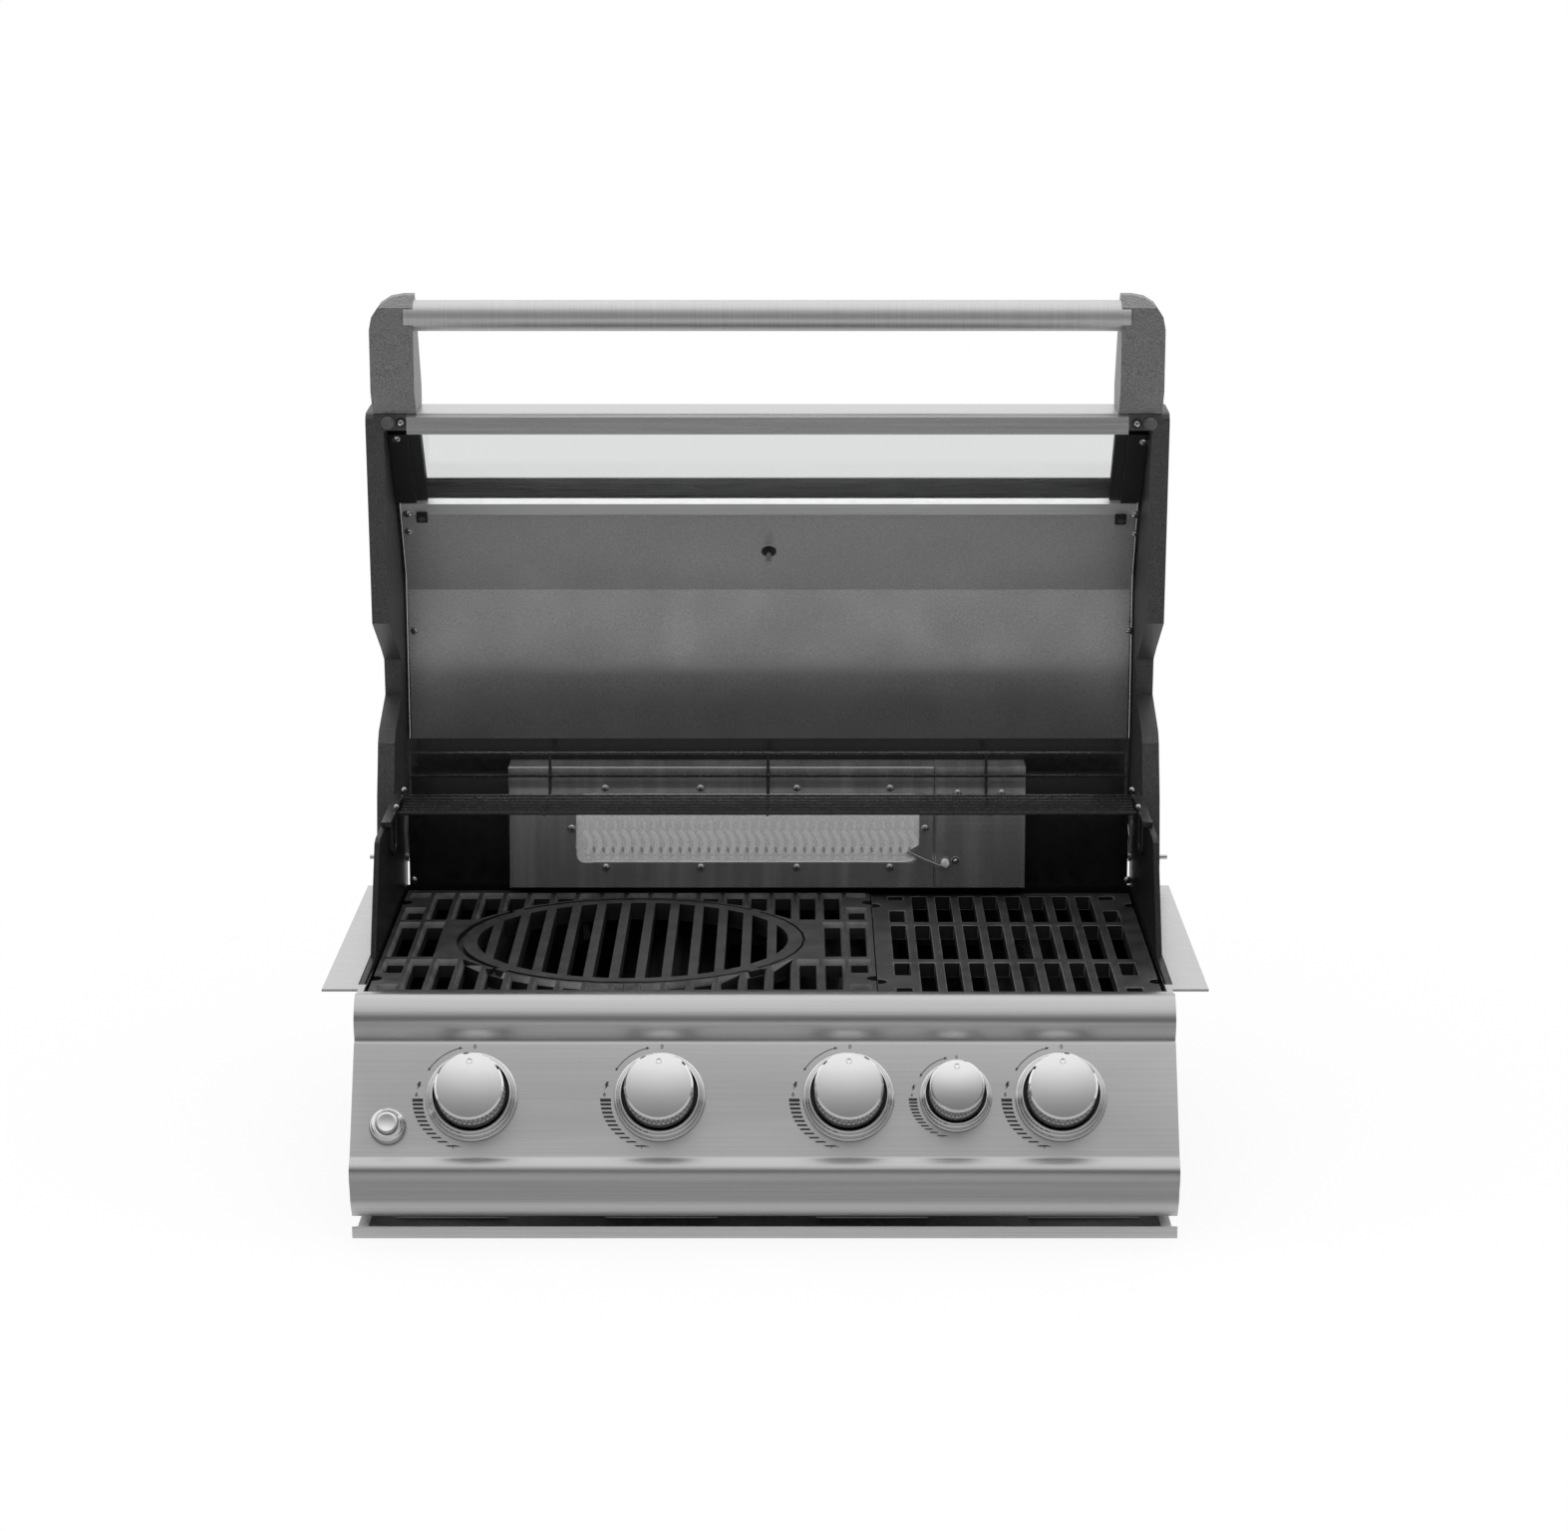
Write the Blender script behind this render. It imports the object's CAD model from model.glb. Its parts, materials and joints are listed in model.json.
import json
import math

import bmesh
import bpy
from mathutils import Matrix, Vector


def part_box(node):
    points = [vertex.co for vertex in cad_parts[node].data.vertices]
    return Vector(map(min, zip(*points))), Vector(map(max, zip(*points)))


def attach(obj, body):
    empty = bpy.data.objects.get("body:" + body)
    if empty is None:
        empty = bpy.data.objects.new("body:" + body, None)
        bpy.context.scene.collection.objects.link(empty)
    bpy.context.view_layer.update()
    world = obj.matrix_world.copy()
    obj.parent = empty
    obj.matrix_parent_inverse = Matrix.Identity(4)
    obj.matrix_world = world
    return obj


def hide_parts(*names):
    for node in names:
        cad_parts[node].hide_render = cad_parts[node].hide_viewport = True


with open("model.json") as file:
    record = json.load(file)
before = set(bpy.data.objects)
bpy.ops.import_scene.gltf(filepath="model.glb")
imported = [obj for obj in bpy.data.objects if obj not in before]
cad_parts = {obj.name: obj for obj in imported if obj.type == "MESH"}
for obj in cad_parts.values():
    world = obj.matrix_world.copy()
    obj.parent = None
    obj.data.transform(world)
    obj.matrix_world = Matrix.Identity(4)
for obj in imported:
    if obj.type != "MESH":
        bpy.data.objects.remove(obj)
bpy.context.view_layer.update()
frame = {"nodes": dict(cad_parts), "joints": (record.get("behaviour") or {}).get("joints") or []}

NODES = frame["nodes"]
JOINTS = {joint["name"]: joint for joint in frame["joints"]}

# The photograph's frame and the camera that fits it
PHOTO_WIDTH = 1573
PHOTO_HEIGHT = 1536
FOCAL_PIXELS = 4100.0
AXIS_X = 800.5
HORIZON_Y = -73.0
SENSOR = 36.0
CAMERA_PLACE = Vector((0.03136, -3.79065, 0.99630))

# Places are measured from the flange's top face and from a line just behind its front edge
FRONT_STRIP_REACH = 0.016
flange_low, flange_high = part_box("counter_flange")
SHIFT = Vector((0, flange_low.y + FRONT_STRIP_REACH, flange_high.z))

# The lid's places are measured with the lid closed, and it stands open by this angle
LID_OPEN_DEGREES = 87
HINGE = Vector(JOINTS["lid_hinge"]["pos_m"])
LID_TURN = Matrix.Rotation(math.radians(-LID_OPEN_DEGREES), 3, "X")

# Sizes that several pieces share
SCREW_RADIUS = 0.0042
SCREW_HEIGHT = 0.0026
SURFACE_LIFT = 0.0001
MARK_THICKNESS = 0.0002
LINER_FOLD_RISE = 0.3815
KNOB_COUNT = 5

# How far the edges of the solids are rounded
SHEET_EDGE = 0.0005
FLANGE_EDGE = 0.0006
END_EDGE = 0.0030
POST_EDGE = 0.0050
PLATE_EDGE = 0.0008
GRATE_EDGE = 0.0006
GLASS_EDGE = 0.0004
WELD_REACH = 0.00001

# Angles in degrees: of faces that count as flat, of edges that are rounded, and of edges that stay sharp
FLAT_ANGLE = 0.6
ROUNDED_ANGLE = 40
SHEET_ANGLE = 24
ROUND_ANGLE = 38

# How much a face of a grate looks up or down where it stops being wall, and where it starts being top
WALL_RISE = 0.15
TOP_RISE = 0.8


def at(x, y, z):
    """A place in the frame from one measured at the flange."""
    return Vector((x, y, z)) + SHIFT


def in_lid(x, y, z):
    """A place in the frame from one measured on the closed lid."""
    return HINGE + LID_TURN @ (at(x, y, z) - HINGE)


def lid_way(y, z):
    """A direction in the frame from one measured on the closed lid."""
    return LID_TURN @ Vector((0, y, z))


PITCH = math.atan2(PHOTO_HEIGHT / 2 - HORIZON_Y, FOCAL_PIXELS)
CAMERA = CAMERA_PLACE + SHIFT


def sight(px, py):
    """Direction of the camera's ray through a pixel of the photograph."""
    across, up = (px - AXIS_X) / FOCAL_PIXELS, (PHOTO_HEIGHT / 2 - py) / FOCAL_PIXELS
    return Vector((across, math.cos(PITCH) + up * math.sin(PITCH), -math.sin(PITCH) + up * math.cos(PITCH)))


def on_plane(px, py, point, normal):
    """The place on a plane that a pixel of the photograph shows."""
    ray = sight(px, py)
    return CAMERA + ray * ((point - CAMERA).dot(normal) / ray.dot(normal))


# Node materials


class Shader:
    """A Principled material with a few node shortcuts."""

    def __init__(self, name, color, roughness, metallic=0.0, **sockets):
        self.material = bpy.data.materials.new(name)
        self.material.use_nodes = True
        self.tree = self.material.node_tree
        self.main = self.tree.nodes["Principled BSDF"]
        self.set("Base Color", (*color, 1))
        self.set("Roughness", roughness)
        self.set("Metallic", metallic)
        for socket, value in sockets.items():
            self.set(socket.replace("_", " "), value)
        self.place = self.add("ShaderNodeTexCoord").outputs["Object"]

    def set(self, socket, value):
        self.main.inputs[socket].default_value = value

    def add(self, kind, **values):
        node = self.tree.nodes.new(kind)
        for key, value in values.items():
            setattr(node, key, value)
        return node

    def link(self, start, end):
        self.tree.links.new(start, end)

    def noise(self, scale, detail=3.0, stretch=(1, 1, 1), rough=0.5):
        mapping = self.add("ShaderNodeMapping")
        mapping.inputs["Scale"].default_value = stretch
        self.link(self.place, mapping.inputs["Vector"])
        noise = self.add("ShaderNodeTexNoise")
        noise.inputs["Scale"].default_value = scale
        noise.inputs["Detail"].default_value = detail
        noise.inputs["Roughness"].default_value = rough
        self.link(mapping.outputs["Vector"], noise.inputs["Vector"])
        return noise.outputs["Fac"]

    def span(self, value, low, high, start=0.3, end=0.7):
        """The value from start to end, mapped to low to high."""
        node = self.add("ShaderNodeMapRange")
        for socket, number in (("From Min", start), ("From Max", end), ("To Min", low), ("To Max", high)):
            node.inputs[socket].default_value = number
        self.link(value, node.inputs["Value"])
        return node.outputs["Result"]

    def colors(self, value, first, second, start=0.35, end=0.65):
        ramp = self.add("ShaderNodeValToRGB")
        ramp.color_ramp.elements[0].position = start
        ramp.color_ramp.elements[1].position = end
        ramp.color_ramp.elements[0].color = (*first, 1)
        ramp.color_ramp.elements[1].color = (*second, 1)
        self.link(value, ramp.inputs["Fac"])
        return ramp.outputs["Color"]

    def bump(self, height, strength, distance, below=None):
        node = self.add("ShaderNodeBump")
        node.inputs["Strength"].default_value = strength
        node.inputs["Distance"].default_value = distance
        self.link(height, node.inputs["Height"])
        if below:
            self.link(below, node.inputs["Normal"])
        self.link(node.outputs["Normal"], self.main.inputs["Normal"])
        return node.outputs["Normal"]

    def wire(self, value, socket):
        self.link(value, self.main.inputs[socket])


def grey(value):
    return (value, value, value)


def brushed(name, level, roughness, stretch=(5, 1100, 1100), spread=0.07, metallic=1.0):
    """Sheet steel with fine lines along X."""
    shader = Shader(name, grey(level), roughness, metallic)
    lines = shader.noise(1.0, 4.0, stretch, 0.6)
    shader.wire(shader.colors(lines, grey(level - spread), grey(level + spread)), "Base Color")
    shader.wire(shader.span(lines, roughness - 0.05, roughness + 0.07), "Roughness")
    clouds = shader.noise(9.0, 2.0)
    first = shader.bump(clouds, 0.02, 0.002)
    shader.bump(lines, 0.10, 0.0001, first)
    return shader.material


def polished(name, level, roughness):
    """Bright rolled steel whose reflections ripple in upright streaks."""
    shader = Shader(name, grey(level), roughness, 0.8)
    streaks = shader.noise(1.0, 2.0, (42, 6, 3.2), 0.6)
    grain = shader.noise(900.0, 2.0)
    shader.wire(shader.span(grain, roughness, roughness + 0.08), "Roughness")
    shader.wire(shader.colors(streaks, grey(level - 0.07), grey(level + 0.12), 0.45, 0.72), "Base Color")
    first = shader.bump(streaks, 0.30, 0.0022)
    shader.bump(grain, 0.03, 0.0001, first)
    return shader.material


def chrome(name, level=0.80, roughness=0.05):
    shader = Shader(name, grey(level), roughness, 1.0)
    haze = shader.noise(60.0, 3.0)
    shader.wire(shader.span(haze, roughness, roughness + 0.05), "Roughness")
    shader.bump(shader.noise(700.0, 2.0), 0.01, 0.0001)
    return shader.material


def grained(name, level, roughness):
    """Dull steel with a fine grain that runs no one way."""
    shader = Shader(name, grey(level), roughness, 0.8)
    grain = shader.noise(520.0, 5.0, (1, 1, 1), 0.75)
    clouds = shader.noise(14.0, 3.0)
    shader.wire(shader.colors(grain, grey(level - 0.10), grey(level + 0.10)), "Base Color")
    shader.wire(shader.span(clouds, roughness - 0.04, roughness + 0.06), "Roughness")
    shader.bump(grain, 0.16, 0.0003)
    return shader.material


def hammered(name, level, roughness=0.36):
    shader = Shader(name, grey(level), roughness, 0.55)
    cells = shader.noise(620.0, 2.0)
    fine = shader.noise(1500.0, 2.0)
    shader.wire(shader.colors(cells, grey(level * 0.75), grey(level * 1.3)), "Base Color")
    shader.wire(shader.span(fine, roughness, roughness + 0.12), "Roughness")
    first = shader.bump(cells, 0.55, 0.0006)
    shader.bump(fine, 0.2, 0.0002, first)
    return shader.material


def cast(name, level, roughness=0.42):
    shader = Shader(name, grey(level), roughness, 0.0)
    pits = shader.noise(1000.0, 4.0)
    patches = shader.noise(45.0, 3.0)
    shader.wire(shader.colors(patches, grey(level * 0.7), grey(level * 1.35)), "Base Color")
    shader.wire(shader.span(pits, roughness - 0.08, roughness + 0.16), "Roughness")
    first = shader.bump(patches, 0.10, 0.001)
    shader.bump(pits, 0.35, 0.0003, first)
    return shader.material


def glossy_paint(name, level, roughness):
    shader = Shader(name, grey(level), roughness, 0.0)
    peel = shader.noise(160.0, 2.0)
    shader.wire(shader.colors(peel, grey(level * 0.8), grey(level * 1.25)), "Base Color")
    shader.wire(shader.span(peel, roughness, roughness + 0.08), "Roughness")
    shader.bump(peel, 0.04, 0.0004)
    return shader.material


def clear_glass(name):
    """Glass that lets light through to what is behind it."""
    shader = Shader(name, (0.97, 0.98, 0.98), 0.0, 0.0, IOR=1.45)
    shader.set("Transmission Weight", 1.0)
    shader.wire(shader.span(shader.noise(30.0), 0.0, 0.02), "Roughness")
    output = shader.tree.nodes["Material Output"]
    path = shader.add("ShaderNodeLightPath")
    clear = shader.add("ShaderNodeBsdfTransparent")
    mix = shader.add("ShaderNodeMixShader")
    shader.link(path.outputs["Is Shadow Ray"], mix.inputs[0])
    shader.link(shader.main.outputs[0], mix.inputs[1])
    shader.link(clear.outputs[0], mix.inputs[2])
    shader.link(mix.outputs[0], output.inputs["Surface"])
    return shader.material


def radiant(name, level):
    shader = Shader(name, grey(level), 0.6, 0.0)
    weave = shader.noise(1100.0, 2.0)
    shader.wire(shader.colors(weave, grey(level * 0.8), grey(level * 1.15)), "Base Color")
    shader.bump(weave, 0.5, 0.0004)
    return shader.material


STEEL = brushed("satin_steel", 0.60, 0.27)
PANEL_STEEL = brushed("panel_steel", 0.60, 0.33, (4, 1300, 1300), 0.05)
TUBE_STEEL = brushed("tube_steel", 0.64, 0.36, (1100, 14, 14), 0.04, 0.8)
TRAY_STEEL = brushed("tray_steel", 0.66, 0.36, metallic=0.6)
STRIP_STEEL = brushed("strip_steel", 0.62, 0.28, metallic=0.9)
BRIGHT = polished("rippled_steel", 0.46, 0.26)
PLAIN_BRIGHT = chrome("plain_bright_steel", 0.62, 0.18)
EDGE_BRIGHT = chrome("bright_fold", 0.92, 0.30)
CHROME = chrome("mirror_chrome", 0.88, 0.05)
KNOB_FACE = chrome("knob_face", 0.86, 0.16)
LINER = grained("grained_steel", 0.56, 0.34)
LINER_FOLD = brushed("folded_steel", 0.72, 0.40, metallic=0.5)
CASTING = hammered("hammered_grey", 0.23)
END_CASTING = hammered("hammered_end", 0.075)
DARK_CASTING = hammered("hammered_dark", 0.020)
ENAMEL = glossy_paint("gloss_black", 0.008, 0.16)
IRON = cast("enamelled_iron", 0.032)
IRON_WALL = cast("iron_in_shade", 0.006, 0.6)
IRON_EDGE = cast("iron_edge", 0.14, 0.30)
WIRE = glossy_paint("black_wire", 0.012, 0.22)
RAIL = glossy_paint("black_steel", 0.010, 0.38)
GLASS = clear_glass("clear_glass")
RADIANT = radiant("radiant_face", 0.82)
RADIANT_RIDGE = radiant("radiant_ridge", 0.96)
RADIANT_PIT = radiant("radiant_pit", 0.42)
BRASS = brushed("dull_brass", 0.42, 0.35)
SCREW = chrome("plated_screw", 0.80, 0.14)
BLACK = glossy_paint("black_fitting", 0.010, 0.34)
GRIP = brushed("knob_grip", 0.50, 0.24, (900, 900, 900), 0.05, 0.7)
RUBBER = glossy_paint("dark_rubber", 0.085, 0.50)
PRINT = glossy_paint("black_print", 0.016, 0.50)
CERAMIC = glossy_paint("white_ceramic", 0.80, 0.20)

# Smoothing and edges of the solids


def smoothing_group(name, degrees):
    """Geometry nodes that shade smooth, apart from edges sharper than an angle."""
    group = bpy.data.node_groups.new(name, "GeometryNodeTree")
    group.interface.new_socket("Geometry", in_out="INPUT", socket_type="NodeSocketGeometry")
    group.interface.new_socket("Geometry", in_out="OUTPUT", socket_type="NodeSocketGeometry")
    start, end = group.nodes.new("NodeGroupInput"), group.nodes.new("NodeGroupOutput")
    faces = group.nodes.new("GeometryNodeSetShadeSmooth")
    faces.domain = "FACE"
    edges = group.nodes.new("GeometryNodeSetShadeSmooth")
    edges.domain = "EDGE"
    angle = group.nodes.new("GeometryNodeInputMeshEdgeAngle")
    compare = group.nodes.new("FunctionNodeCompare")
    compare.operation = "LESS_THAN"
    compare.inputs[1].default_value = math.radians(degrees)
    link = group.links.new
    link(start.outputs[0], faces.inputs["Geometry"])
    link(faces.outputs[0], edges.inputs["Geometry"])
    link(angle.outputs["Unsigned Angle"], compare.inputs[0])
    link(compare.outputs["Result"], edges.inputs["Shade Smooth"])
    link(edges.outputs[0], end.inputs[0])
    return group


SHEETS = smoothing_group("smooth_sheets", SHEET_ANGLE)
ROUNDS = smoothing_group("smooth_rounds", ROUND_ANGLE)


def finish_edges(item, width, smoothing, edge_material):
    """Joins the solid's split points, merges its flat triangles and rounds its edges."""
    weld = item.modifiers.new("joined", "WELD")
    weld.merge_threshold = WELD_REACH
    if smoothing != ROUNDS:
        flat = item.modifiers.new("flat_faces", "DECIMATE")
        flat.decimate_type = "DISSOLVE"
        flat.angle_limit = math.radians(FLAT_ANGLE)
        flat.delimit = {"MATERIAL"}
    if width:
        bevel = item.modifiers.new("rounding", "BEVEL")
        bevel.width = width
        bevel.segments = 2
        bevel.limit_method = "ANGLE"
        bevel.angle_limit = math.radians(ROUNDED_ANGLE)
        bevel.material = edge_material
    smooth = item.modifiers.new("smoothing", "NODES")
    smooth.node_group = smoothing
    even = item.modifiers.new("even_shading", "WEIGHTED_NORMAL")
    even.keep_sharp = True


def dress(materials, width, *names, smoothing=SHEETS, edge_material=-1):
    """Gives CAD nodes their finish and the rounding of their edges."""
    for name in names:
        item = NODES[name]
        item.data.materials.clear()
        for material in materials if isinstance(materials, tuple) else (materials,):
            item.data.materials.append(material)
        finish_edges(item, width, smoothing, edge_material)


def shade_slots(*names):
    """Gives the walls of a grate's slots the second material and their flared mouths the third."""
    for name in names:
        for face in NODES[name].data.polygons:
            rise = abs(face.normal.z)
            face.material_index = 1 if rise < WALL_RISE else 2 if rise < TOP_RISE else 0


def shade_liner_folds():
    """Gives the liner's folds round the window the second material."""
    liner = NODES["lid_liner"]
    for face in liner.data.polygons:
        place = liner.matrix_world @ face.center
        face.material_index = 1 if place.z > at(0, 0, LINER_FOLD_RISE).z else 0


def numbered(name, count):
    """The names of pieces that are numbered from 1."""
    return [f"{name}_{number + 1}" for number in range(count)]


def dress_nodes():
    dress(STEEL, FLANGE_EDGE, "counter_flange")
    dress(PANEL_STEEL, 0, "control_panel", smoothing=ROUNDS)
    dress(TRAY_STEEL, SHEET_EDGE, "drip_tray")
    dress(STRIP_STEEL, SHEET_EDGE, "lid_front_strip")
    dress(STEEL, 0, "lid_skin")
    dress(TUBE_STEEL, 0, "handle_tube", smoothing=ROUNDS)
    turned = ("hinge_pin_left", "hinge_pin_right", "gas_manifold", "thermometer")
    dress(PLAIN_BRIGHT, 0, *turned, smoothing=ROUNDS)
    dress(PLAIN_BRIGHT, 0, *numbered("burner", 4), *numbered("valve_stem", KNOB_COUNT), smoothing=ROUNDS)
    dress(PLAIN_BRIGHT, 0, *numbered("flame_tamer", 4))
    dress(BRIGHT, SHEET_EDGE, "rear_burner_housing", "rear_burner_cover")
    dress((LINER, LINER_FOLD), 0, "lid_liner")
    shade_liner_folds()
    dress(END_CASTING, END_EDGE, "lid_end_left", "lid_end_right")
    dress(CASTING, POST_EDGE, "handle_post_left", "handle_post_right")
    dress(DARK_CASTING, PLATE_EDGE, "side_plate_left", "side_plate_right")
    dress(ENAMEL, 0, "firebox_shell", "rear_wall")
    grates = ("grate_left", "grate_centre", "grate_right", "round_grate")
    dress((IRON, IRON_WALL, IRON_EDGE), GRATE_EDGE, *grates, edge_material=2)
    shade_slots(*grates)
    dress(WIRE, 0, "warming_rack", smoothing=ROUNDS)
    dress(GLASS, GLASS_EDGE, "window_glass")
    dress(RAIL, PLATE_EDGE, "glass_rail_left", "glass_rail_right")
    dress(RADIANT, 0, "rear_burner_radiant")
    dress(BRASS, 0, *numbered("valve", KNOB_COUNT), smoothing=ROUNDS)


# Small pieces


def to_mesh(name, shape, *materials, smooth=38):
    bmesh.ops.recalc_face_normals(shape, faces=shape.faces)
    mesh = bpy.data.meshes.new(name)
    shape.to_mesh(mesh)
    shape.free()
    for material in materials:
        mesh.materials.append(material)
    mesh.shade_smooth()
    mesh.set_sharp_from_angle(angle=math.radians(smooth))
    return mesh


def place_piece(name, mesh, matrix, body):
    item = bpy.data.objects.new(name, mesh)
    bpy.context.scene.collection.objects.link(item)
    item.matrix_world = matrix
    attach(item, body)
    return item


def lathe(profile, sides=20, bands=(), flute=None):
    """Revolves (radius, height) points about Z.

    The bands are the materials between rows, and the flute is what a row loses at an angle.
    """
    shape = bmesh.new()
    rows = []
    for number, (radius, height) in enumerate(profile):
        if radius == 0:
            rows.append([shape.verts.new((0, 0, height))])
            continue
        row = []
        for i in range(sides):
            angle = math.tau * i / sides
            reach = radius - (flute(number, angle) if flute else 0)
            row.append(shape.verts.new((reach * math.cos(angle), reach * math.sin(angle), height)))
        rows.append(row)
    for band, (low, high) in enumerate(zip(rows, rows[1:])):
        for i in range(sides):
            j = (i + 1) % sides
            corners = [low[i % len(low)], low[j % len(low)], high[j % len(high)], high[i % len(high)]]
            distinct = list(dict.fromkeys(corners))
            if len(distinct) > 2:
                face = shape.faces.new(distinct)
                face.material_index = bands[band] if bands else 0
    return shape


def prism(foot, head):
    """The solid between two outlines with equally many corners."""
    shape = bmesh.new()
    rings = [[shape.verts.new(corner) for corner in outline] for outline in (foot, head)]
    for ring in rings:
        shape.faces.new(ring)
    for i in range(len(foot)):
        j = (i + 1) % len(foot)
        shape.faces.new((rings[0][i], rings[0][j], rings[1][j], rings[1][i]))
    return shape


def slab(outline, low, high):
    """A flat outline in x and y, given a thickness along z."""
    return prism(*([(x, y, z) for x, y in outline] for z in (low, high)))


def joined(shapes):
    """One bmesh that holds the faces of all the given ones."""
    whole = bmesh.new()
    for shape in shapes:
        mesh = bpy.data.meshes.new("joined")
        bmesh.ops.recalc_face_normals(shape, faces=shape.faces)
        shape.to_mesh(mesh)
        shape.free()
        whole.from_mesh(mesh)
        bpy.data.meshes.remove(mesh)
    return whole


def tube(points, radius, sides=8):
    """A round wire along a path, with capped ends."""
    points = [Vector(point) for point in points]
    shape = bmesh.new()
    rings = []
    for i, point in enumerate(points):
        along = (points[min(i + 1, len(points) - 1)] - points[max(i - 1, 0)]).normalized()
        aside = Vector((1, 0, 0)) if abs(along.x) < 0.7 else Vector((0, 0, 1))
        across = along.cross(aside).normalized()
        other = along.cross(across)
        turns = [math.tau * k / sides for k in range(sides)]
        ring = [point + radius * (across * math.cos(a) + other * math.sin(a)) for a in turns]
        rings.append([shape.verts.new(place) for place in ring])
    for low, high in zip(rings, rings[1:]):
        for i in range(sides):
            j = (i + 1) % sides
            shape.faces.new((low[i], low[j], high[j], high[i]))
    shape.faces.new(rings[0])
    shape.faces.new(rings[-1])
    return shape


def plate(corners, normal, low, high):
    """A flat outline of places in the frame, given a thickness along the normal."""
    normal = Vector(normal).normalized()
    return prism(*([Vector(corner) + normal * lift for corner in corners] for lift in (low, high)))


def ribbon(points, width):
    """The outline of a line of some width along a flat path."""
    points = [Vector(point) for point in points]
    left, right = [], []
    for i, point in enumerate(points):
        along = (points[min(i + 1, len(points) - 1)] - points[max(i - 1, 0)]).normalized()
        aside = Vector((-along.y, along.x)) * (width / 2)
        left.append(tuple(point + aside))
        right.append(tuple(point - aside))
    return left + right[::-1]


def oriented(place, normal, up=Vector((0, 0, 1))):
    """A matrix whose Z is the normal, and whose Y is as near to up as it can be."""
    normal = Vector(normal).normalized()
    if abs(normal.dot(up)) > 0.99:
        up = Vector((0, 1, 0))
    across = up.cross(normal).normalized()
    upward = normal.cross(across)
    turn = Matrix((across, upward, normal)).transposed().to_4x4()
    return Matrix.Translation(place) @ turn


def screw_mesh(material, radius=SCREW_RADIUS, height=SCREW_HEIGHT):
    """A pan head with a cross recess."""
    dome = [(radius * math.cos(a), height * (0.35 + 0.65 * math.sin(a))) for a in (0.0, 0.5, 0.95, 1.3)]
    shapes = [lathe([(0, 0), (radius, 0), *dome, (0, height)], 20)]
    arm, half = radius * 0.48, radius * 0.10
    for long, wide in ((arm, half), (half, arm)):
        corners = [(-long, -wide), (long, -wide), (long, wide), (-long, wide)]
        bar = slab(corners, height * 0.9, height + SURFACE_LIFT)
        for face in bar.faces:
            face.material_index = 1
        shapes.append(bar)
    return to_mesh("screw", joined(shapes), material, BLACK)


SCREW_MESH = screw_mesh(SCREW)
LARGE_SCREW = screw_mesh(SCREW, radius=0.0053, height=0.0030)
SMALL_SCREW = screw_mesh(SCREW, radius=0.0033, height=0.0020)


def add_screws(name, places, body, mesh=SCREW_MESH):
    """Screw heads on surfaces: each is a place and the surface's normal."""
    for number, (place, normal) in enumerate(places):
        turn = Matrix.Rotation(math.radians(37 * number + 15), 4, "Z")
        place_piece(f"{name}_{number + 1}", mesh, oriented(place, normal) @ turn, body)


dress_nodes()

# Knobs, bezels and the igniter, turned finer than their solids


def axis_frame(joint, outward=1):
    """A matrix at a joint's place, with Z along its axis."""
    return oriented(Vector(JOINTS[joint]["pos_m"]), Vector(JOINTS[joint]["axis"]) * outward)


def half_width(node):
    low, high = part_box(node)
    return (high.x - low.x) / 2


# The knob's heights along its axis, its other sizes, and its materials
KNOB_FOOT = 0.0080
KNOB_SHOULDER = 0.0409
KNOB_DOME = 0.0026
KNOB_CHAMFER = 0.0018
FLUTES = 44
FLUTE_DEPTH = 0.0012
GRIP_ROWS = (6, 7)
DIMPLE_RISE = 0.0235
BEZEL_GAP = 0.0036
KNOB_MATERIALS = (KNOB_FACE, CHROME, RUBBER, GRIP)
FACE, RIM, SKIRT, SIDE = range(len(KNOB_MATERIALS))


def knob_shape(radius):
    """A dark skirt, a fluted grip, a bright rim and a domed face."""
    rows = [
        (0, KNOB_FOOT, SKIRT),
        (radius, KNOB_FOOT, SKIRT),
        (radius, 0.0172, RIM),
        (radius - 0.0003, 0.0180, RIM),
        (radius - 0.0003, 0.0187, SIDE),
        (radius - 0.0006, 0.0190, SIDE),
        (radius - 0.0004, 0.0194, SIDE),
        (radius - 0.0004, 0.0372, SIDE),
        (radius - 0.0007, 0.0378, RIM),
        (radius, 0.0384, RIM),
        (radius, 0.0389, RIM),
        (radius - KNOB_CHAMFER, KNOB_SHOULDER, FACE),
    ]
    reach = radius - KNOB_CHAMFER
    for share in (0.97, 0.90, 0.80, 0.68, 0.54, 0.38, 0.20, 0):
        rows.append((reach * share, KNOB_SHOULDER + KNOB_DOME * (1 - share**2), FACE))

    def flute(row, angle):
        return FLUTE_DEPTH * max(0.0, math.cos(FLUTES * angle)) ** 0.5 if row in GRIP_ROWS else 0

    return lathe([row[:2] for row in rows], 5 * FLUTES, [row[2] for row in rows], flute)


def dimple_shape():
    """A small raised ring round a shallow cup, on the knob's face."""
    ring = [(0.0032, -0.0004), (0.0029, 0.0001), (0.0025, 0.00035)]
    cup = [(0.0020, 0.0002), (0.0009, 0.0), (0, 0)]
    return lathe(ring + cup, 24)


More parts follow.
